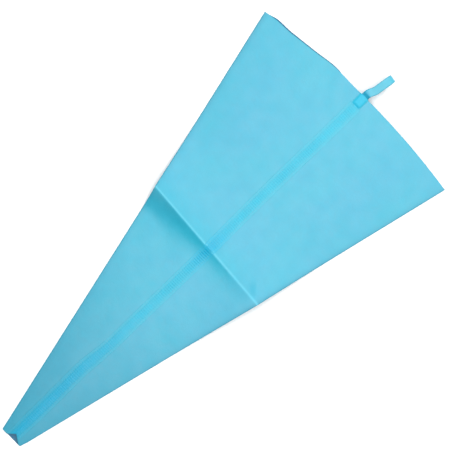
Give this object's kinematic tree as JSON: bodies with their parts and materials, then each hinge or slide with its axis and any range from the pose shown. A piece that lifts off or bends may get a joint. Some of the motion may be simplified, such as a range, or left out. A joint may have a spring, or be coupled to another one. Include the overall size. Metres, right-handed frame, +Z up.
{
  "type": "piping bag",
  "caption": "Flat-lying cone of soft blue film for piping, open at a wide mouth and a narrow cut tip, with a lap-welded front seam, a hanging loop at the mouth and a crease across the middle.",
  "frame": {"origin": "on the surface that the bag lies on, under the middle of the whole bag with its loop", "axes": "+Y from the cut tip to the mouth, +X to the right seen from above with the mouth at the far end, +Z up"},
  "size_m": [0.18, 0.374, 0.0121],
  "materials": {
    "film": "satin",
    "seam_weld": "satin",
    "loop_strip": "satin"
  },
  "bodies": {
    "mouth_half": {"mouth_back_wall": "film", "mouth_front_left_wall": "film", "mouth_front_right_wall": "film", "mouth_left_side_fold": "film", "mouth_right_side_fold": "film", "mouth_seam_lap": "seam_weld", "loop_end_weld": "seam_weld"},
    "tip_half": {"tip_back_wall": "film", "tip_front_left_wall": "film", "tip_front_right_wall": "film", "tip_left_side_fold": "film", "tip_right_side_fold": "film", "tip_seam_lap": "seam_weld"},
    "loop": {"hanging_loop": "loop_strip"}
  },
  "joints": [
    {"name": "crease_fold", "type": "hinge", "parent": "mouth_half", "child": "tip_half", "pos_m": [0, 0.00855, 0.012], "axis": [-0.998, 0.0628, 0], "range_deg": [-100, 175]},
    {"name": "loop_bend", "type": "hinge", "parent": "mouth_half", "child": "loop", "pos_m": [0.0025, 0.16645, 0.0102], "axis": [-0.9799, 0.1994, 0], "range_deg": [-140, 75], "stiffness_Nm_per_rad": 0.002}
  ]
}
